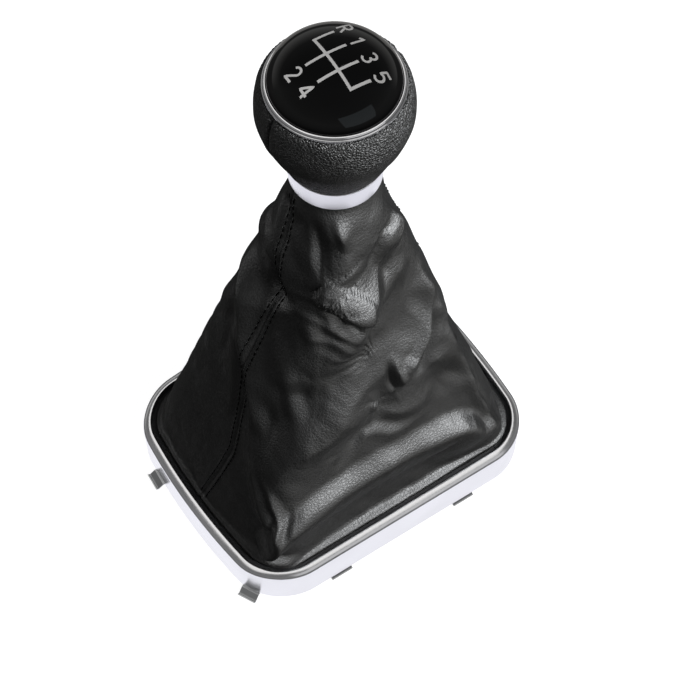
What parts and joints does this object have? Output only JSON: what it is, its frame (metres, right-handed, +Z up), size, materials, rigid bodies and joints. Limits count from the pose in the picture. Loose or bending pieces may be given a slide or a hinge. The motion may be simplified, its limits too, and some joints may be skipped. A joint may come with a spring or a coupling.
{
  "type": "gear shift knob",
  "caption": "Leather-covered gear knob with a glossy shift-pattern cap, silver collar, folded leatherette gaiter and a chromed console frame with spring clips.",
  "frame": {"origin": "under the middle of the console frame, on the surface that the clips' feet stand on", "axes": "+Z up along the gear lever, +Y forward in the car, +X to the right-hand side"},
  "size_m": [0.1238, 0.1489, 0.2628],
  "materials": {
    "chromed_rim": "satin chrome plating on moulded plastic",
    "black_plastic": "moulded black, matt",
    "spring_steel": "plain spring steel strip",
    "leatherette": "soft black leatherette, fine pebble grain",
    "satin_silver": "satin silver coating on moulded plastic",
    "grip_leather": "black leather, fine pebble grain, stretched smooth",
    "polished_ring": "bright chrome plating on moulded plastic",
    "gloss_black": "high-gloss black with silver printed shift pattern"
  },
  "bodies": {
    "frame": {"bezel_frame": "chromed_rim", "retaining_frame": "black_plastic", "clip_rear_left": "spring_steel", "clip_rear_right": "spring_steel", "clip_right_rear": "spring_steel", "clip_right_front": "spring_steel", "clip_front_right": "spring_steel", "clip_front_left": "spring_steel", "clip_left_front": "spring_steel", "clip_left_rear": "spring_steel"},
    "push_stage": {"gaiter_left_panel": "leatherette"},
    "shift_stage": {"gaiter_right_panel": "leatherette"},
    "knob": {"neck_ring": "black_plastic", "lever_sleeve": "black_plastic", "ear_clamp": "spring_steel", "collar": "satin_silver", "knob_core": "black_plastic", "grip_left": "grip_leather", "grip_right": "grip_leather", "chrome_ring": "polished_ring", "cap_carrier": "black_plastic", "cap": "gloss_black"}
  },
  "joints": [
    {"name": "reverse_push", "type": "slide", "parent": "frame", "child": "push_stage", "axis": [0, 0, 1], "range_m": [-0.008, 0], "stiffness_N_per_m": 2500, "springref_m": 0.002, "deforming": ["gaiter_left_panel", "gaiter_right_panel"]},
    {"name": "shift_fore_aft", "type": "hinge", "parent": "push_stage", "child": "shift_stage", "pos_m": [0.0018, 0.0033, -0.09], "axis": [-1, 0, 0], "range_deg": [-9.5, 9.5]},
    {"name": "select_side", "type": "hinge", "parent": "shift_stage", "child": "knob", "pos_m": [0.0018, 0.0033, -0.09], "axis": [0, 1, 0], "range_deg": [-9.5, 4.8], "stiffness_Nm_per_rad": 20}
  ]
}
